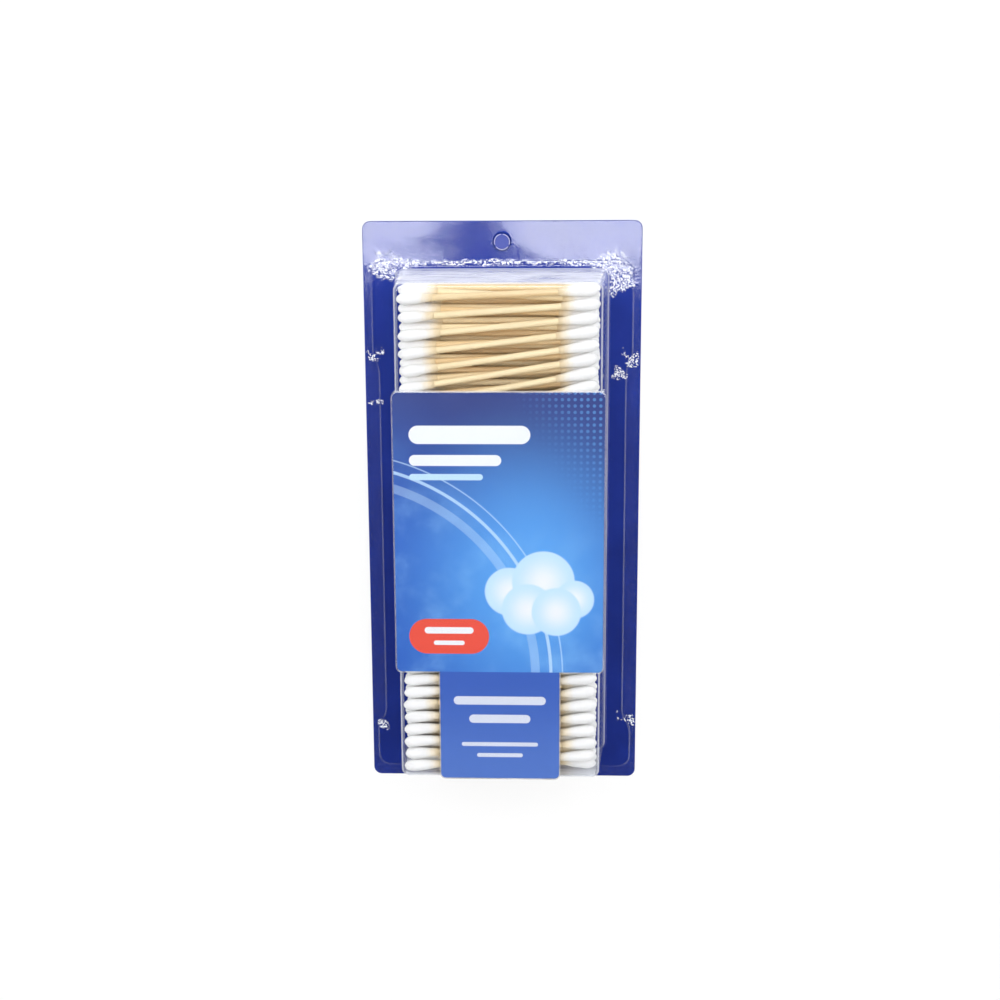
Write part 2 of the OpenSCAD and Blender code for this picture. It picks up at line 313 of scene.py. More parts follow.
@dataclass(frozen=True)
class ClearFilmFinish:
    """Clear thermoformed film, with lengths in millimetres.

    It mirrors a little, more at a slant. Its bends and its deep-drawn walls are painted milky white,
    partly the film's real whitening and partly painted highlight lines, and the tub's top wall carries a
    painted reflection in white streaks. The margin that is sealed to the board is slightly frosted, with
    painted sheen speckles, and the loose film is crumpled at the rim's corners and jogs, with painted
    white glints on its folds and broken painted highlight lines along the rim. Rays from lamps meet a
    plain tinted sheet, which keeps renders quick.
    """

    tint: Colour = (0.975, 0.98, 0.99)
    milk_and_highlight: Colour = (0.88, 0.9, 0.95)
    cast: Colour = (0.9, 0.905, 0.915)
    bend_highlight_share: float = 0.34
    rim_highlight_share: float = 0.1
    ridge_highlight_share: float = 0.5
    wall_share: float = 0.04
    top_reflection_share: float = 0.74
    frost_and_sheen_share: float = 0.16
    glint_share: float = 0.95
    clear_roughness: float = 0.03
    sealed_roughness: float = 0.06
    straight: float = 0.049
    flank_loss: float = 0.85
    wall_loss: float = 0.7
    wave: float = 0.16
    peel: float = 0.005
    crumple: float = 0.05
    rag: float = 16.0
    peel_scale: float = 1500.0
    fold_scale: float = 700.0
    glint_scale: float = 1400.0
    rag_scale: float = 190.0
    rim_z: float = 1.75
    ridge: tuple[float, float, float] = (99.6, 52.0, 0.62)
    creases: tuple[tuple[float, float, float], ...] = (
        (-46.0, 97.5, 8.0), (-39.0, 98.5, 5.0), (43.0, 97.5, 9.0), (48.0, 92.0, 7.0), (51.0, 61.0, 4.5),
        (47.5, 56.0, 3.6), (-51.0, 62.0, 3.6), (-50.5, 44.0, 2.6), (51.5, -90.0, 4.4),
        (-51.0, -94.0, 2.0))

    def build(self) -> bpy.types.Material:
        """Builds the film's nodes.

        Returns:
            The material.
        """
        g = Graph.material("clear film")
        x, y, z = g.object_axes()
        where = g.vector(x, y, z)
        low = z.step((self.rim_z + 0.6) * MM, self.rim_z * MM)
        sealed = z.step(1.3 * MM, 1.0 * MM)
        waves = g.noise((x * 30.0 + y * 22.0, y * 46.0, z * 30.0), 1.0, 1.0)
        peel = g.noise(where, self.peel_scale, 1.0, 0.6)
        folds = g.noise(where, self.fold_scale, 2.0, 0.65)
        crumpled = self.crumpled(g, x, y) * low
        crumple = folds * crumpled
        height = waves * self.wave + peel * self.peel + crumple * self.crumple
        normal = g.bump(height, MM)
        through = g.add("ShaderNodeBsdfTransparent", None, {"Color": (*self.tint, 1.0)})
        mirror = g.add("ShaderNodeBsdfPrincipled", None, {
            "Base Color": (1.0, 1.0, 1.0, 1.0), "Metallic": 1.0, "Normal": normal,
            "Roughness": sealed * (self.sealed_roughness - self.clear_roughness) + self.clear_roughness})
        slant = g.add("ShaderNodeLayerWeight", None, {"Blend": 0.5, "Normal": normal}, output="Facing")
        share = (slant ** 5.0 * (1.0 - self.straight) + self.straight) * (1.0 - self.hush(g, x, y, z))
        sheet = g.add("ShaderNodeMixShader", None, {0: share, 1: through, 2: mirror})
        # A matt white shader, mixed in as painted highlights, painted reflection and painted glints, and
        # partly as the film's real milkiness.
        milk_and_highlight = g.shader(self.milk_and_highlight, 0.25, None, 0.6)
        # The sealed margin gets white speckles: partly its real frosting, partly painted sheen.
        film = g.add("ShaderNodeMixShader", None, {
            0: self.milk_and_highlight_share(g, x, y, z).at_least(self.glints(g, where, folds, crumpled))
            .at_least((peel - 0.5) * sealed * self.frost_and_sheen_share),
            1: sheet, 2: milk_and_highlight})
        shade = g.add("ShaderNodeBsdfTransparent", None, {"Color": (*self.cast, 1.0)})
        return g.finish_with(g.add("ShaderNodeMixShader", None, {
            0: g.add("ShaderNodeLightPath", output="Is Shadow Ray"), 1: film, 2: shade}))

    def glints(self, g: Graph, where: Sig, folds: Sig, crumpled: Sig) -> Sig:
        """Finds the sharp little folds and paints white glints on them, as painted highlights.

        Args:
            g: The film's node graph.
            where: Place in metres.
            folds: Height of the folds.
            crumpled: How crumpled the film is.

        Returns:
            The share of painted white on them.
        """
        fine = g.noise(where, self.glint_scale, 1.0, 0.6)
        grains = (folds * 0.3 + fine * 0.7 + crumpled * 0.05).step(0.585, 0.605)
        return grains * crumpled.step(0.05, 0.45) * self.glint_share

    def crumpled(self, g: Graph, x: Sig, y: Sig) -> Sig:
        """Finds where the loose film is crumpled.

        Args:
            g: The film's node graph.
            x: Place across, in metres.
            y: Place up, in metres.

        Returns:
            How crumpled it is, from 0 to 1.
        """
        total = Sig(g, 0.0)
        rag = g.noise((x, y, 0.0), self.rag_scale, 2.0, 0.6)
        for across, up, reach in self.creases:
            out = (x / MM - across).away(y / MM - up)
            total = total.at_least((out + (rag - 0.5) * self.rag).step(reach, 0.0))
        ridge = abs(y / MM - self.ridge[0] + (rag - 0.5) * 3.0).step(1.5, 0.2)
        ends = abs(x / MM).step(self.ridge[1], self.ridge[1] - 6.0)
        return total.at_least(ridge * ends * self.ridge[2])

    def hush(self, g: Graph, x: Sig, y: Sig, z: Sig) -> Sig:
        """Finds where the rim's flank and the tub's walls mirror less.

        Args:
            g: The film's node graph.
            x: Place across, in metres.
            y: Place up, in metres.
            z: Height in metres.

        Returns:
            The share of the mirroring that is lost.
        """
        up = abs(g.facing(2))
        drawn = z.step(self.rim_z * MM, (self.rim_z + 0.4) * MM)
        kept = g.noise((x * 70.0, y * 48.0, 0.0), 1.0, 3.0).step(0.5, 0.68)
        flank = up.step(0.99, 0.95) * (1.0 - drawn) * (1.0 - kept)
        return (flank * self.flank_loss).at_least(up.step(0.3, 0.15) * drawn * self.wall_loss)

    def milk_and_highlight_share(self, g: Graph, x: Sig, y: Sig, z: Sig) -> Sig:
        """Finds where the film is painted white, partly real whitening and partly painted highlight and
        reflection.

        Args:
            g: The film's node graph.
            x: Place across, in metres.
            y: Place up, in metres.
            z: Height in metres.

        Returns:
            The share of painted white, from 0 to 1.
        """
        up = abs(g.facing(2))
        drawn = z.step(self.rim_z * MM, (self.rim_z + 0.4) * MM)
        raised = z.step(1.0 * MM, 1.2 * MM)
        # Bends and corners: painted highlight lines, partly the film's real whitening.
        edge = up.step(0.2, 0.35) * up.step(0.85, 0.65) * (drawn * 0.6 + 0.4)
        corner = (abs(g.facing(0)) * abs(g.facing(1))).step(0.25, 0.45) * drawn * 0.5
        # Deep-drawn walls: a little real haze. The top wall, which faces up the pack towards the lamps,
        # gets a painted reflection in white streaks, stronger at a slant.
        wall = up.step(0.3, 0.15)
        reflection_streaks = g.noise((x * 38.0, 0.0, z * 150.0), 1.0, 2.0).step(0.3, 0.62)
        top = g.facing(1).step(0.7, 0.9) * (reflection_streaks * 0.75 + 0.4)
        slant = g.add("ShaderNodeLayerWeight", None, {"Blend": 0.5}, output="Facing").step(0.2, 0.8)
        wall_haze_and_reflection = wall * drawn * (top * (slant * 0.75 + 0.25) * self.top_reflection_share + self.wall_share)
        # Rim flank and ridge: broken painted highlight lines, brighter where they face up the pack.
        broken = g.noise((x * 90.0, y * 55.0, 0.0), 1.0, 3.0).step(0.42, 0.68)
        side = wall * raised * (1.0 - drawn) * broken
        ridge = g.facing(1).step(0.5, 0.8) * self.ridge_highlight_share + self.rim_highlight_share
        return (edge.at_least(corner) * self.bend_highlight_share).at_least(wall_haze_and_reflection).at_least(side * ridge)


@dataclass(frozen=True)
class Bar:
    """A bar of the print with round ends. Lengths are in millimetres."""

    x: float
    y: float
    width: float
    height: float
    colour: Colour
    share: float = 1.0
    soft: float = 0.12

    def mask(self, u: Sig, v: Sig) -> Sig:
        """Finds where the bar lies.

        Args:
            u: Distance across.
            v: Distance up.

        Returns:
            The bar's mask.
        """
        radius = self.height / 2
        du = (abs(u - self.x) - (self.width / 2 - radius)).at_least(0.0)
        return du.away(v - self.y).step(radius + self.soft, radius - self.soft)


@dataclass(frozen=True)
class PrintFinish:
    """The label's print: fields of blue with a few simple shapes. Lengths are in millimetres."""

    navy: Colour = (0.018, 0.04, 0.22)
    mid: Colour = (0.03, 0.13, 0.52)
    sky: Colour = (0.1, 0.36, 0.8)
    wash: Colour = (0.26, 0.55, 0.9)
    pale: Colour = (0.55, 0.76, 0.95)
    white: Colour = (0.86, 0.88, 0.9)
    coral: Colour = (0.82, 0.09, 0.055)
    tongue_top: Colour = (0.045, 0.12, 0.48)
    tongue_foot: Colour = (0.09, 0.19, 0.56)
    board: Colour = (0.72, 0.72, 0.7)
    roughness: float = 0.32
    gloss: float = 0.5
    tooth: float = 0.00001
    band_foot: float = -56.3
    dot_pitch: float = 2.4
    dot_radius: float = 0.62
    soft: float = 0.12
    rings: tuple[tuple[float, float, float], ...] = (
        (84.0, 1.2, 0.75), (88.5, 0.5, 0.6), (78.0, 3.4, 0.3))
    puffs: tuple[tuple[float, float, float], ...] = (
        (4.0, -24.0, 9.5), (17.0, -20.0, 12.0), (29.0, -27.0, 7.5), (11.0, -31.0, 10.0),
        (22.0, -32.0, 9.5))
    band_bars: tuple[Bar, ...] = (
        Bar(-11.0, 37.0, 46.0, 7.0, white), Bar(-16.5, 27.2, 35.0, 4.2, white),
        Bar(-20.0, 20.8, 28.0, 2.4, pale), Bar(-19.5, -42.0, 31.0, 14.0, coral),
        Bar(-19.5, -39.6, 19.0, 2.6, white), Bar(-19.5, -44.6, 12.0, 1.8, white))
    tongue_bars: tuple[Bar, ...] = (
        Bar(0.0, -68.0, 36.0, 3.4, white, 0.8), Bar(0.0, -75.5, 24.0, 3.4, white, 0.8),
        Bar(0.0, -86.0, 30.0, 1.6, white, 0.8), Bar(0.0, -90.5, 18.0, 1.6, white, 0.8))

    def build(self) -> bpy.types.Material:
        """Builds the print's nodes.

        Returns:
            The material.
        """
        g = Graph.material("label print")
        x, y, z = g.object_axes()
        u, v = x / MM, y / MM
        ground = g.blend((v * 0.9 + u * 0.35).step(44.0, -18.0), self.navy, self.mid)
        glow = self.round(u, v, 12.0, -20.0, 0.8).step(62.0, 6.0)
        ground = g.blend(glow, ground, self.sky)
        wash = g.noise((u * 0.05, v * 0.05, 0.0), 1.0, 4.0, 0.55).step(0.42, 0.75)
        ground = g.blend(wash * (v + u * 0.5).step(30.0, -30.0) * 0.45, ground, self.wash)
        ring = self.round(u, v, -64.0, -58.0, 1.0)
        for radius, width, share in self.rings:
            ground = g.blend(self.line(ring, radius, width) * share, ground, self.pale)
        dots = self.dots(u, v) * (u + v * 0.5).step(28.0, 62.0)
        ground = g.blend(dots * 0.5, ground, self.sky)
        for across, up, radius in self.puffs:
            puff = self.round(u, v, across, up, 1.0)
            shade = g.blend(puff.step(radius, 0.0), self.pale, self.white)
            ground = g.blend(puff.step(radius + 0.4, radius - 0.4), ground, shade)
        for bar in self.band_bars:
            ground = g.blend(bar.mask(u, v) * bar.share, ground, bar.colour)
        foot = g.blend(v.step(self.band_foot, -100.0), self.tongue_top, self.tongue_foot)
        for bar in self.tongue_bars:
            foot = g.blend(bar.mask(u, v) * bar.share, foot, bar.colour)
        colour = g.blend(v.step(self.band_foot, self.band_foot - 0.1), ground, foot)
        colour = g.blend(g.facing(2).step(0.4, 0.6), self.board, colour)
        tooth = g.noise((x, y, z), 3000.0, 2.0)
        return g.finish_with(g.shader(colour, self.roughness, g.bump(tooth, self.tooth), self.gloss))

    @staticmethod
    def round(u: Sig, v: Sig, across: float, up: float, stretch: float) -> Sig:
        """Returns the distance from a point, with the height stretched."""
        return (u - across).away((v - up) * stretch)

    @staticmethod
    def line(distance: Sig, radius: float, width: float) -> Sig:
        """Returns a ring's mask, from the distance to its middle."""
        return abs(distance - radius).step(width / 2 + 0.15, width / 2 - 0.15)

    def dots(self, u: Sig, v: Sig) -> Sig:
        """Finds where the field of dots lies.

        Args:
            u: Distance across.
            v: Distance up.

        Returns:
            The dots' mask.
        """
        half = self.dot_pitch / 2
        out = u.wrap(-half, half).away(v.wrap(-half, half))
        return out.step(self.dot_radius + self.soft, self.dot_radius - self.soft)


@dataclass(frozen=True)
class StickFinish:
    """Pale wood with fine grain along each stick."""

    pale: Colour = (0.96, 0.81, 0.52)
    dark: Colour = (0.82, 0.58, 0.3)
    roughness: float = 0.55
    gloss: float = 0.3
    groove: float = 0.00004

    def build(self) -> bpy.types.Material:
        """Builds the sticks' nodes.

        Returns:
            The material.
        """
        g = Graph.material("pale wood")
        x, y, z = g.own_axes()
        grain = g.noise((x * 90.0, y * 2400.0, z * 2400.0), 1.0, 3.0)
        broad = g.noise((x * 40.0, y * 500.0, z * 500.0), 1.0, 1.0)
        tone = g.add("ShaderNodeAttribute", {"attribute_name": "tone"}, output="Fac")
        shade = (grain * 0.45 + broad * 0.3 + tone * 0.35).step(0.3, 0.85)
        wood = g.blend(shade, self.pale, self.dark)
        return g.finish_with(g.shader(wood, self.roughness, g.bump(grain, self.groove), self.gloss))


@dataclass(frozen=True)
class CottonFinish:
    """Wound white cotton, soft and matt, with fibres that run round the tip and thin out at its start."""

    white: Colour = (0.96, 0.95, 0.93)
    # Colour of the painted shade in the cotton's hollows.
    shade: Colour = (0.9, 0.885, 0.85)
    thin: Colour = (0.92, 0.75, 0.47)
    thin_l: float = 6.5
    roughness: float = 0.95
    gloss: float = 0.1
    sheen: tuple[float, float] = (0.4, 0.5)
    fuzz: float = 0.00022

    def build(self) -> bpy.types.Material:
        """Builds the cotton's nodes.

        Returns:
            The material.
        """
        g = Graph.material("wound cotton")
        x, y, z = g.own_axes()
        wound = g.noise((x * 2600.0, y * 420.0, z * 420.0), 1.0, 4.0, 0.65)
        fluff = g.noise((x, y, z), 5200.0, 3.0, 0.7)
        height = wound * 0.7 + fluff * 0.3
        # Darker in the hollows between the wound fibres: painted shade.
        colour = g.blend(height.step(0.55, 0.3), self.white, self.shade)
        start = x / MM + (wound - 0.5) * 4.0
        colour = g.blend(start.step(self.thin_l, 0.0), colour, self.thin)
        shader = g.add("ShaderNodeBsdfPrincipled", None, {
            "Base Color": colour, "Roughness": self.roughness, "Specular IOR Level": self.gloss,
            "Sheen Weight": self.sheen[0], "Sheen Roughness": self.sheen[1],
            "Normal": g.bump(height, self.fuzz)})
        return g.finish_with(shader)


@dataclass(frozen=True)
class FloorFinish:
    """Plain pale floor that the camera sees as nearly white."""

    pale: Colour = (0.86, 0.86, 0.86)
    glow: float = 0.75

    def build(self) -> bpy.types.Material:
        """Builds the floor's nodes.

        Returns:
            The material.
        """
        g = Graph.material("pale floor")
        matt = g.add("ShaderNodeBsdfDiffuse", None, {"Color": (*self.pale, 1.0)})
        light = g.add("ShaderNodeEmission", None, {"Color": (1.0, 1.0, 1.0, 1.0), "Strength": 1.0})
        seen = g.add("ShaderNodeLightPath", output="Is Camera Ray")
        for ray in ("Is Glossy Ray", "Is Transmission Ray"):
            seen = seen.at_least(g.add("ShaderNodeLightPath", output=ray))
        return g.finish_with(g.add("ShaderNodeMixShader", None, {
            0: seen * self.glow, 1: matt, 2: light}))


def dress(node: str, material: bpy.types.Material) -> None:
    """Gives a CAD node one material.

    Args:
        node: The node's name.
        material: Its finish.
    """
    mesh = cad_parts[node].data
    mesh.materials.clear()
    mesh.materials.append(material)
    log.info("dressed %s", node)


def put(name: str, data: bpy.types.ID, place: Matrix) -> bpy.types.Object:
    """Adds an object to the scene.

    Args:
        name: The object's name.
        data: Its mesh, camera or lamp.
        place: Its place and turn.

    Returns:
        The object.
    """
    item = bpy.data.objects.new(name, data)
    bpy.context.scene.collection.objects.link(item)
    item.matrix_world = place
    return item


class Workpiece:
    """A mesh that operators shape, on what is picked by its place in millimetres."""

    def __init__(self, name: str) -> None:
        """Starts from the primitive that was just added.

        Args:
            name: The object's name.
        """
        self.piece = bpy.context.object
        self.piece.name = name
        bpy.ops.object.transform_apply(location=True, rotation=True, scale=True)

    @classmethod
    def start(cls, name: str, primitive: Callable[..., Any], size: tuple[float, float, float],
              middle: tuple[float, float, float]) -> "Workpiece":
        """Adds a primitive at its size and place.

        Args:
            name: The object's name.
            primitive: The operator that adds a plane or a cube.
            size: Its width, its height up the pack and its depth.
            middle: Its middle.

        Returns:
            The workpiece.
        """
        bpy.ops.object.select_all(action="DESELECT")
        primitive(size=1.0, location=[v * MM for v in middle])
        bpy.context.object.scale = [v * MM for v in size]
        return cls(name)

    def take(self) -> None:
        """Selects this piece alone."""
        bpy.ops.object.select_all(action="DESELECT")
        self.piece.select_set(True)
        bpy.context.view_layer.objects.active = self.piece

    def edit(self) -> None:
        """Enters edit mode on this piece alone."""
        self.take()
        bpy.ops.object.mode_set(mode="EDIT")

    @staticmethod
    def leave() -> None:
        """Leaves edit mode."""
        bpy.ops.object.mode_set(mode="OBJECT")

    def pick(self, kind: Pick, test: Callable[[float, float, float], bool]) -> None:
        """Selects the elements whose corners all pass a test.

        Args:
            kind: Whether vertices, edges or faces are picked.
            test: Takes a corner's place in millimetres.
        """
        bpy.ops.mesh.select_all(action="DESELECT")
        bpy.ops.mesh.select_mode(type=kind.value)
        mesh = bmesh.from_edit_mesh(self.piece.data)
        good = {v for v in mesh.verts if test(*(v.co / MM))}
        for item in {Pick.VERT: mesh.verts, Pick.EDGE: mesh.edges, Pick.FACE: mesh.faces}[kind]:
            if all(v in good for v in ([item] if kind is Pick.VERT else item.verts)):
                item.select_set(True)
        bmesh.update_edit_mesh(self.piece.data)

    def bevel(self, width: float, segments: int, corners: bool = False) -> None:
        """Rounds the picked edges, or the picked vertices as corners."""
        affect = "VERTICES" if corners else "EDGES"
        bpy.ops.mesh.bevel(offset=width * MM, segments=segments, affect=affect)

    def modify(self, kind: str, **settings: Any) -> None:
        """Adds a modifier and applies it.

        Args:
            kind: The modifier's type.
            **settings: Its settings.
        """
        self.take()
        modifier = self.piece.modifiers.new(kind.lower(), kind)
        for key, value in settings.items():
            setattr(modifier, key, value)
        bpy.ops.object.modifier_apply(modifier=modifier.name)

    def combine(self, operation: str, other: "Workpiece") -> None:
        """Joins another workpiece to this one or cuts it away, and uses it up."""
        self.modify("BOOLEAN", operation=operation, solver="EXACT", object=other.piece)
        bpy.data.objects.remove(other.piece)


@dataclass
class ClearFilm:
    """The thermoformed film: sealed margin, raised rim, drafted tub and label pocket, in millimetres."""

    card_w: float
    card_h: float
    card_t: float
    film_top: float
    margin: float = 0.3
    margin_corner: float = 2.9
    thickness: float = 0.34
    skin: float = 0.4
    rim_rise: float = 0.7
    rim_corner: float = 5.0
    rim_flare: float = 0.35
    head_side: float = 3.3
    waist_side: float = 5.8
    foot_side: float = 2.5
    head_drop: float = 15.8
    head_h: float = 38.0
    foot_rise: float = 4.6
    foot_h: float = 18.0
    jog_h: float = 5.0
    tub_side: float = 16.5
    tub_drop: float = 22.2
    tub_rise: float = 16.2
    draft: float = 4.5
    tub_corner: float = 3.0
    tub_edge: float = 1.6
    root: float = 1.4
    root_reach: float = 6.0
    crease: float = 0.25
    plug: float = 3.0
    relief: float = 0.9
    swell: float = 1.5
    band_drop: float = 40.2
    band_rise: float = 43.0
    tongue_side: float = 15.2
    tongue_overhang: float = 0.8
    pocket_corner: float = 2.4
    pocket_edge: float = 0.6
    pocket_draft: float = 0.5
    pocket_base: float = 11.0
    hole_d: float = 7.6
    hole_drop: float = 7.8

    @classmethod
    def from_frame(cls) -> "ClearFilm":
        """Takes the card's and the film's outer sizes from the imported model.

        Returns:
            The film's sizes.
        """
        card_low, card_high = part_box("backing_card")
        size = (card_high - card_low) / MM
        return cls(size.x, size.y, size.z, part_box("clear_blister")[1].z / MM)

    @property
    def top(self) -> float:
        """Place of the card's top edge."""
        return self.card_h / 2

    @property
    def flat_z(self) -> float:
        """Height of the sealed margin."""
        return self.card_t + self.skin

    @property
    def rim_z(self) -> float:
        """Height of the rim."""
        return self.flat_z + self.rim_rise

    @property
    def tub_top(self) -> float:
        """Height of the tub's front."""
        return self.film_top - self.relief

    def tub_span(self) -> tuple[float, float]:
        """Returns the tub front's lower and upper place up the pack."""
        return self.tub_rise - self.top, self.top - self.tub_drop

    def form(self, name: str, width: float, span: tuple[float, float], low: float, high: float,
             lean: float, corner: float, edge: float) -> Workpiece:
        """Makes a drafted block with round corners and a round front edge.

        Args:
            name: The block's name.
            width: Width of its front.
            span: Lower and upper place of its front.
            low: Height of its underside.
            high: Height of its front.
            lean: Draft in degrees.
            corner: Radius of its corners.
            edge: Radius of its front edge.

        Returns:
            The block.
        """
        middle, tall = sum(span) / 2, span[1] - span[0]
        block = Workpiece.start(name, bpy.ops.mesh.primitive_cube_add, (width, tall, high - low),
                                (0.0, middle, (low + high) / 2))
        grow = 2 * (high - low) * math.tan(math.radians(lean))
        block.edit()
        block.pick(Pick.FACE, lambda x, y, z: z < low + 0.01)
        bpy.ops.transform.resize(value=((width + grow) / width, (tall + grow) / tall, 1.0),
                                 center_override=(0.0, middle * MM, low * MM))
        bpy.ops.mesh.select_all(action="DESELECT")
        bpy.ops.mesh.select_mode(type="EDGE")
        mesh = bmesh.from_edit_mesh(block.piece.data)
        for upright in mesh.edges:
            upright.select_set(abs(upright.verts[0].co.z - upright.verts[1].co.z) > MM)
        bmesh.update_edit_mesh(block.piece.data)
        block.bevel(corner, 6)
        if edge:
            block.pick(Pick.EDGE, lambda x, y, z: z > high - 0.01)
            block.bevel(edge, 4)
        block.leave()
        return block

    def rim(self) -> Workpiece:
        """Models the raised rim as a low solid with a head, a waist and a foot.

        Returns:
            The rim's workpiece.
        """
        head, waist, foot = (self.card_w / 2 - side for side in
                             (self.head_side, self.waist_side, self.foot_side))
        high, low = self.top - self.head_drop, self.foot_rise - self.top
        head_low, foot_high = high - self.head_h, low + self.foot_h
        wide, middle = max(head, foot), (high + low) / 2
        rim = Workpiece.start("rim", bpy.ops.mesh.primitive_plane_add, (2 * wide, high - low, 1.0),
                              (0.0, middle, self.rim_z))
        rim.edit()
        for across in (waist, -waist, head, -head):
            bpy.ops.mesh.select_all(action="SELECT")
            bpy.ops.mesh.bisect(plane_co=(across * MM, 0.0, 0.0), plane_no=(1.0, 0.0, 0.0))
        for up in (head_low, foot_high):
            bpy.ops.mesh.select_all(action="SELECT")
            bpy.ops.mesh.bisect(plane_co=(0.0, up * MM, 0.0), plane_no=(0.0, 1.0, 0.0))
        near = 0.01
        for side in (-1, 1):
            rim.pick(Pick.FACE, lambda x, y, z: side * x > head - near and y > foot_high - near)
            bpy.ops.mesh.delete(type="FACE")
            rim.pick(Pick.FACE, lambda x, y, z: side * x > waist - near
                     and foot_high - near < y < head_low + near)
            bpy.ops.mesh.delete(type="FACE")
        bpy.ops.mesh.select_all(action="SELECT")
        bpy.ops.mesh.dissolve_limited(angle_limit=math.radians(1.0))
        for level, way in ((head_low, -1.0), (foot_high, 1.0)):
            rim.pick(Pick.VERT, lambda x, y, z: abs(abs(x) - waist) < near and abs(y - level) < near)
            bpy.ops.transform.translate(value=(0.0, way * self.jog_h * MM, 0.0))
        rim.pick(Pick.VERT, lambda x, y, z: y > high - near or y < low + near)
        rim.bevel(self.rim_corner, 7, corners=True)
        inset = self.rim_corner + near
        rim.pick(Pick.VERT, lambda x, y, z: low + inset < y < high - inset)
        rim.bevel(self.jog_h / 2.2, 4, corners=True)
        bpy.ops.mesh.select_all(action="SELECT")
        bpy.ops.mesh.extrude_region_move(
            TRANSFORM_OT_translate={"value": (0.0, 0.0, -2 * self.rim_rise * MM)})
        bpy.ops.transform.resize(
            value=(1.0 + 2 * self.rim_flare / wide, 1.0 + 4 * self.rim_flare / (high - low), 1.0),
            center_override=(0.0, middle * MM, 0.0))
        bpy.ops.mesh.select_all(action="SELECT")
        bpy.ops.mesh.normals_make_consistent(inside=False)
        rim.leave()
        return rim

    def solids(self) -> list[Workpiece]:
        """Models the solids that the film is drawn over.

        Returns:
            Margin, rim, tub, pocket band and tongue.
        """
        under = self.flat_z - self.plug
        edge = self.top - self.margin
        span = self.tub_span()
        width = self.card_w - 2 * self.tub_side
        band = (span[0] + self.band_rise, span[1] - self.band_drop)
        tongue = (span[0] - self.tongue_overhang, sum(band) / 2)
        pocket = (self.pocket_base, self.film_top, self.pocket_draft, self.pocket_corner,
                  self.pocket_edge)
        return [
            self.form("clear_film", self.card_w - 2 * self.margin, (-edge, edge), under, self.flat_z,
                      0.0, self.margin_corner, 0.0),
            self.rim(),
            self.form("tub", width, span, self.flat_z, self.tub_top, self.draft, self.tub_corner,
                      self.tub_edge),
            self.form("band", width + 2 * self.swell, band, *pocket),
            self.form("tongue", width - 2 * self.tongue_side, tongue, *pocket),
        ]

    def build(self) -> None:
        """Draws the film over its solids, cuts its hang hole, opens its back and thickens it."""
        film, *others = self.solids()
        for other in others:
            film.combine("UNION", other)
        bpy.ops.object.select_all(action="DESELECT")
        bpy.ops.mesh.primitive_cylinder_add(
            vertices=40, radius=self.hole_d / 2 * MM, depth=4 * self.plug * MM,
            location=(0.0, (self.top - self.hole_drop) * MM, self.flat_z * MM))
        film.combine("DIFFERENCE", Workpiece("punch"))
        film.edit()
        film.pick(Pick.VERT, lambda x, y, z: z < self.flat_z - self.plug / 2)
        bpy.ops.mesh.delete(type="VERT")
        low, high = self.tub_span()
        reach = self.card_w / 2 - self.tub_side + self.root_reach
        film.pick(Pick.EDGE, lambda x, y, z: abs(z - self.rim_z) < 0.02 and abs(x) < reach
                  and low - self.root_reach < y < high + self.root_reach)
        film.bevel(self.root, 4)
        film.leave()
        film.modify("BEVEL", width=self.crease * MM, segments=2, limit_method="ANGLE",
                    angle_limit=math.radians(35.0))
        film.modify("SOLIDIFY", thickness=self.thickness * MM, offset=-1.0)
        bpy.ops.object.shade_smooth_by_angle(angle=math.radians(35.0))
        film.modify("WEIGHTED_NORMAL", weight=100, keep_sharp=True)
        film.piece.data.materials.append(ClearFilmFinish().build())
        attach(film.piece, "root")
        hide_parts("clear_blister")
        log.info("formed clear_film: %d faces", len(film.piece.data.polygons))


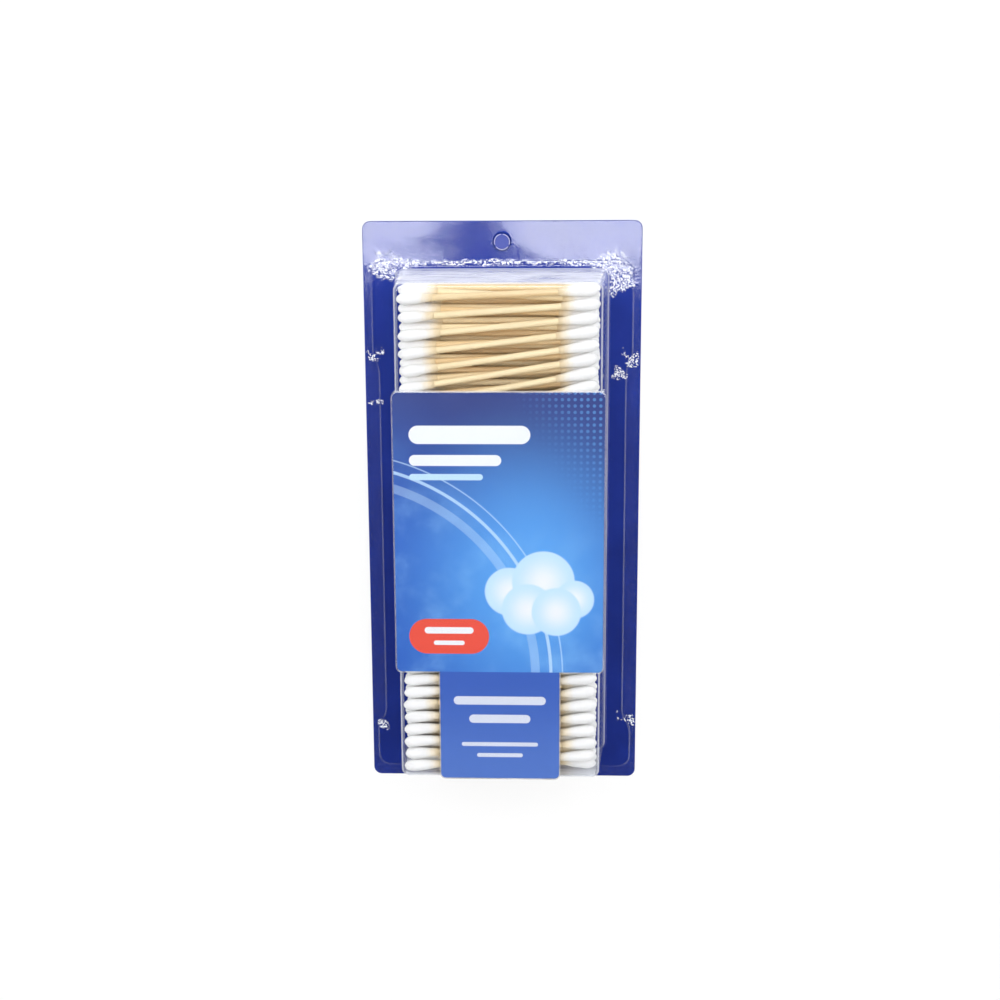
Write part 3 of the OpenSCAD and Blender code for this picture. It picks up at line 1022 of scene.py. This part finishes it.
@dataclass
class Swabs:
    """All cotton swabs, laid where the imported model's sticks lie. Lengths are in millimetres."""

    tip_l: float = 15.0
    tip_round_l: float = 3.6
    tip_cap: float = 1.22
    tip_d: float = 4.65
    stick_d: float = 2.5
    feather: float = 0.12
    taper: float = 1.5
    sides: int = 12
    variants: int = 4
    longer: float = 0.8
    lump: float = 0.22
    lump_l: float = 2.6
    lump_step: float = 0.5
    jitter: float = 0.05
    twist: float = 0.12
    body_shares: tuple[float, ...] = (0.0, 0.25, 0.5, 0.75, 1.0)
    cap_angles: tuple[float, ...] = (35.0, 60.0, 80.0)
    cuts: tuple[float, ...] = (-0.25, 0.0, 0.25)
    seed: int = 7

    def ring(self, along: float, radius: float, turn: float) -> None:
        """Moves the selected ring to its place along the tip and gives it its radius.

        Args:
            along: Distance from the last ring.
            radius: The ring's radius over the last one's.
            turn: Turn about the tip's axis, in radians.
        """
        bpy.ops.mesh.extrude_region_move(TRANSFORM_OT_translate={"value": (along * MM, 0.0, 0.0)})
        bpy.ops.transform.resize(value=(1.0, radius, radius), center_override=(0.0, 0.0, 0.0))
        bpy.ops.transform.rotate(value=turn, orient_axis="X", center_override=(0.0, 0.0, 0.0))

    def tip_length(self, variant: int) -> float:
        """Returns the length of one of the tip's shapes."""
        return self.tip_l + self.longer * (variant - (self.variants - 1) / 2)

    def profile(self, tip_l: float) -> list[tuple[float, float]]:
        """Lists a tip's rings.

        Args:
            tip_l: The tip's length.

        Returns:
            Pairs of a place along the tip and a radius.
        """
        start = self.stick_d / 2 + self.feather
        full, length = self.tip_d / 2, tip_l - self.tip_round_l
        body = [(length * t, start + (full - start) * math.sin(math.pi / 2 * t) ** self.taper)
                for t in self.body_shares]
        end = [(length + self.tip_round_l * math.sin(math.radians(a)), full * math.cos(math.radians(a)))
               for a in self.cap_angles]
        return body + end

    def model_tip(self, variant: int) -> bpy.types.Mesh:
        """Models one tip that starts at the origin and runs along X.

        Args:
            variant: Number of this tip's shape.

        Returns:
            The tip's mesh.
        """
        rings = self.profile(self.tip_length(variant))
        bpy.ops.object.select_all(action="DESELECT")
        bpy.ops.mesh.primitive_circle_add(vertices=self.sides, radius=rings[0][1] * MM,
                                          rotation=(0.0, math.pi / 2, 0.0))
        bpy.ops.object.transform_apply(rotation=True)
        tip = bpy.context.object
        bpy.ops.object.mode_set(mode="EDIT")
        bpy.ops.mesh.select_all(action="SELECT")
        for last, this in zip(rings, rings[1:]):
            self.ring(this[0] - last[0], this[1] / last[1], self.twist * (1 + variant % 2))
        bpy.ops.mesh.edge_face_add()
        bpy.ops.mesh.select_all(action="DESELECT")
        bpy.ops.mesh.select_non_manifold()
        bpy.ops.mesh.edge_face_add()
        bpy.ops.mesh.select_all(action="SELECT")
        bpy.ops.mesh.normals_make_consistent(inside=False)
        bpy.ops.transform.vertex_random(offset=self.jitter * MM, seed=self.seed + variant)
        bpy.ops.object.mode_set(mode="OBJECT")
        lumps = bpy.data.textures.new(f"cotton lumps {variant}", "CLOUDS")
        lumps.noise_scale = (self.lump_l + self.lump_step * variant) * MM
        swell = tip.modifiers.new("lumps", "DISPLACE")
        swell.texture = lumps
        swell.strength = self.lump * MM
        bpy.ops.object.modifier_apply(modifier=swell.name)
        bpy.ops.object.shade_smooth()
        return self.take_mesh(tip)

    def model_stick(self, length: float) -> bpy.types.Mesh:
        """Models one stick along X, with its middle at the origin.

        Args:
            length: The stick's length in metres.

        Returns:
            The stick's mesh.
        """
        bpy.ops.object.select_all(action="DESELECT")
        bpy.ops.mesh.primitive_cylinder_add(vertices=self.sides, radius=self.stick_d / 2 * MM,
                                            depth=length, rotation=(0.0, math.pi / 2, 0.0))
        bpy.ops.object.transform_apply(rotation=True)
        stick = bpy.context.object
        bpy.ops.object.mode_set(mode="EDIT")
        for place in self.cuts:
            bpy.ops.mesh.select_all(action="SELECT")
            bpy.ops.mesh.bisect(plane_co=(place * length, 0.0, 0.0), plane_no=(1.0, 0.0, 0.0))
        bpy.ops.object.mode_set(mode="OBJECT")
        bpy.ops.object.shade_smooth_by_angle(angle=math.radians(40.0))
        return self.take_mesh(stick)

    @staticmethod
    def take_mesh(piece: bpy.types.Object) -> bpy.types.Mesh:
        """Removes an object but keeps its mesh.

        Args:
            piece: The object.

        Returns:
            The mesh.
        """
        mesh = piece.data
        bpy.data.objects.remove(piece)
        return mesh

    @staticmethod
    def stick_places(node: str) -> list[tuple[Matrix, float]]:
        """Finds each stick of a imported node.

        Args:
            node: The node's name.

        Returns:
            A matrix for each stick, which turns the X axis along it, and the stick's length.
        """
        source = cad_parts[node]
        solid = bmesh.new()
        solid.from_mesh(source.data)
        solid.transform(source.matrix_world)
        bmesh.ops.remove_doubles(solid, verts=solid.verts[:], dist=0.001 * MM)
        seen: set[int] = set()
        places = []
        solid.verts.index_update()
        for first in solid.verts:
            if first.index in seen:
                continue
            island, queue = [], [first]
            seen.add(first.index)
            while queue:
                vert = queue.pop()
                island.append(vert.co.copy())
                for edge in vert.link_edges:
                    other = edge.other_vert(vert)
                    if other.index not in seen:
                        seen.add(other.index)
                        queue.append(other)
            middle = sum(island, Vector()) / len(island)
            ends = [[p for p in island if (p.x > middle.x) == right] for right in (False, True)]
            left, right = (sum(end, Vector()) / len(end) for end in ends)
            way = (right - left).normalized()
            turn = Vector((1.0, 0.0, 0.0)).rotation_difference(way).to_matrix().to_4x4()
            places.append((Matrix.Translation((left + right) / 2) @ turn, (right - left).length))
        solid.free()
        return sorted(places, key=lambda item: -item[0].translation.y)

    def lay(self, name: str, node: str, material: bpy.types.Material,
            copies: list[tuple[bpy.types.Mesh, Matrix]], draw: random.Random) -> None:
        """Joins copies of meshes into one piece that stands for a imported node.

        Args:
            name: The piece's name.
            node: The node that it replaces.
            material: The piece's finish.
            copies: Pairs of a mesh and its place.
            draw: Random draws for each copy's tone.
        """
        bpy.ops.object.select_all(action="DESELECT")
        piece = None
        for mesh, place in copies:
            own = mesh.copy()
            shift = Vector((0.0, draw.uniform(0.0, 50.0), draw.uniform(0.0, 50.0)))
            self.mark(own, shift, draw.random())
            own.transform(place)
            copy = put(name, own, Matrix.Identity(4))
            copy.select_set(True)
            piece = piece or copy
        bpy.context.view_layer.objects.active = piece
        bpy.ops.object.join()
        piece.name = name
        piece.data.materials.clear()
        piece.data.materials.append(material)
        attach(piece, "root")
        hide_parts(node)
        log.info("laid %s for %s", name, node)

    @staticmethod
    def mark(mesh: bpy.types.Mesh, shift: Vector, tone: float) -> None:
        """Keeps the copy's own coordinates and tone on its points.

        Args:
            mesh: The copy's mesh, not yet moved.
            shift: What its coordinates are shifted by.
            tone: A number from 0 to 1.
        """
        points = [point.co + shift * MM for point in mesh.vertices]
        mesh.attributes.new("own_place", "FLOAT_VECTOR", "POINT")
        for kept, point in zip(mesh.attributes["own_place"].data, points):
            kept.vector = point
        mesh.attributes.new("tone", "FLOAT", "POINT")
        for kept in mesh.attributes["tone"].data:
            kept.value = tone

    def build(self) -> None:
        """Builds the sticks and tips of all layers."""
        draw = random.Random(self.seed)
        wood, cotton = StickFinish().build(), CottonFinish().build()
        tips = [self.model_tip(variant) for variant in range(self.variants)]
        stick = None
        flip = Matrix.Rotation(math.pi, 4, "Z")
        for layer in LAYERS:
            places = self.stick_places(f"sticks_layer_{layer}")
            stick = stick or self.model_stick(places[0][1])
            self.lay(f"wooden_sticks_{layer}", f"sticks_layer_{layer}", wood,
                     [(stick, place) for place, _ in places], draw)
            ends = []
            for place, length in places:
                for side in (Matrix.Identity(4), flip):
                    roll = Matrix.Rotation(draw.uniform(0.0, 2 * math.pi), 4, "X")
                    variant = draw.randrange(self.variants)
                    start = length / 2 - (self.tip_length(variant) - self.tip_cap) * MM
                    out = Matrix.Translation((start, 0.0, 0.0))
                    ends.append((tips[variant], place @ side @ out @ roll))
            self.lay(f"wound_tips_{layer}", f"cotton_tips_layer_{layer}", cotton, ends, draw)


@dataclass
class PhotoCamera:
    """The camera, at the photograph's angle above the pack."""

    distance: float = 0.5946
    tilt: float = 11.33
    swing: float = 2.26
    roll: float = -0.26
    lens: float = 52.12
    aim: tuple[float, float, float] = (-0.00124, 0.00331, 0.0)

    def build(self) -> None:
        """Adds the camera and makes it the scene's own."""
        e, a = math.radians(self.tilt), math.radians(self.swing)
        back = Vector((math.sin(a) * math.cos(e), math.sin(e), math.cos(a) * math.cos(e)))
        right = Vector((0.0, 1.0, 0.0)).cross(back).normalized()
        up = back.cross(right)
        turn = Matrix((right, up, back)).transposed() @ Matrix.Rotation(math.radians(self.roll), 3, "Z")
        data = bpy.data.cameras.new("photo_camera")
        data.lens = self.lens
        data.sensor_width = 36.0
        data.clip_start = 0.01
        place = Matrix.Translation(Vector(self.aim) + back * self.distance) @ turn.to_4x4()
        bpy.context.scene.camera = put("photo_camera", data, place)


@dataclass(frozen=True)
class Lamp:
    """A rectangular soft lamp that faces the pack."""

    name: str
    place: tuple[float, float, float]
    size: tuple[float, float] = (0.5, 0.4)
    glow: float = 3.9

    def build(self) -> None:
        """Adds the lamp. Its power follows from its area and its glow, where 1 is white."""
        data = bpy.data.lights.new(self.name, "AREA")
        data.shape = "RECTANGLE"
        data.size, data.size_y = self.size
        data.energy = self.glow * math.pi * self.size[0] * self.size[1]
        face = (-Vector(self.place)).to_track_quat("-Z", "Y").to_matrix().to_4x4()
        put(self.name, data, Matrix.Translation(self.place) @ face)


@dataclass(frozen=True)
class Panel:
    """A bright soft panel of the world, over a range of X/Z and Y/Z of the directions upwards."""

    left: float
    right: float
    low: float
    high: float
    lean: float
    glow: float
    soft: float = 0.005
    fade: float = 0.1

    def mask(self, across: Sig, up: Sig) -> Sig:
        """Finds where the panel glows.

        Args:
            across: X/Z of the direction.
            up: Y/Z of the direction.

        Returns:
            The panel's glow.
        """
        leant = across + up * self.lean
        left = leant.step(self.left, self.left + 2 * self.soft)
        right = leant.step(self.right, self.right - 2 * self.soft)
        foot = up.step(self.low, self.low + self.soft)
        head = up.step(self.high, self.high - self.fade)
        return left * right * foot * head * self.glow


@dataclass
class Studio:
    """Floor, world and soft lamps."""

    floor_size: float = 6.0
    floor_z: float = -0.0001
    zenith: float = 0.04
    horizon: float = 0.6
    sky_fade: tuple[float, float] = (0.92, 0.72)
    panel_fade: tuple[float, float] = (0.1, 0.2)
    least_z: float = 0.05
    panels: tuple[Panel, ...] = (
        Panel(-0.046, 0.75, -0.041, 0.33, 0.67, 5.8),
        Panel(-0.7, -0.06, -0.041, 0.33, -0.87, 5.6),
    )
    lamps: tuple[Lamp, ...] = (
        Lamp("head_left", (-0.35, 0.45, 0.75)),
        Lamp("head_right", (0.35, 0.45, 0.75)),
    )

    def world(self) -> None:
        """Lights from all round, more from the sides and two panels, and is white to the camera."""
        world = bpy.data.worlds.new("studio")
        bpy.context.scene.world = world
        g = Graph(world)
        x, y, z = g.split(g.add("ShaderNodeTexCoord", output="Generated"))
        sky = z.step(*self.sky_fade) * (self.horizon - self.zenith) + self.zenith
        over = z.at_least(self.least_z)
        for panel in self.panels:
            sky = sky.at_least(panel.mask(x / over, y / over) * z.step(*self.panel_fade))
        seen = g.add("ShaderNodeLightPath", output="Is Camera Ray").at_least(
            g.add("ShaderNodeLightPath", output="Is Transmission Ray"))
        strength = seen + (1.0 - seen) * sky
        back = g.add("ShaderNodeBackground", None, {"Color": (1.0, 1.0, 1.0, 1.0), "Strength": strength})
        g.add("ShaderNodeOutputWorld", None, {"Surface": back})

    def build(self) -> None:
        """Builds the studio."""
        bpy.ops.object.select_all(action="DESELECT")
        bpy.ops.mesh.primitive_plane_add(size=self.floor_size, location=(0.0, 0.0, self.floor_z))
        floor = bpy.context.object
        floor.name = "floor"
        floor.data.materials.append(FloorFinish().build())
        self.world()
        for lamp in self.lamps:
            lamp.build()


def main() -> None:
    """Builds the camera and the studio and dresses every piece."""
    scene = bpy.context.scene
    scene.view_settings.view_transform = "Standard"
    PhotoCamera().build()
    Studio().build()
    dress("backing_card", BoardFinish().build())
    ClearFilm.from_frame().build()
    dress("label_card", PrintFinish().build())
    Swabs().build()


if __name__ == "__main__":
    main()
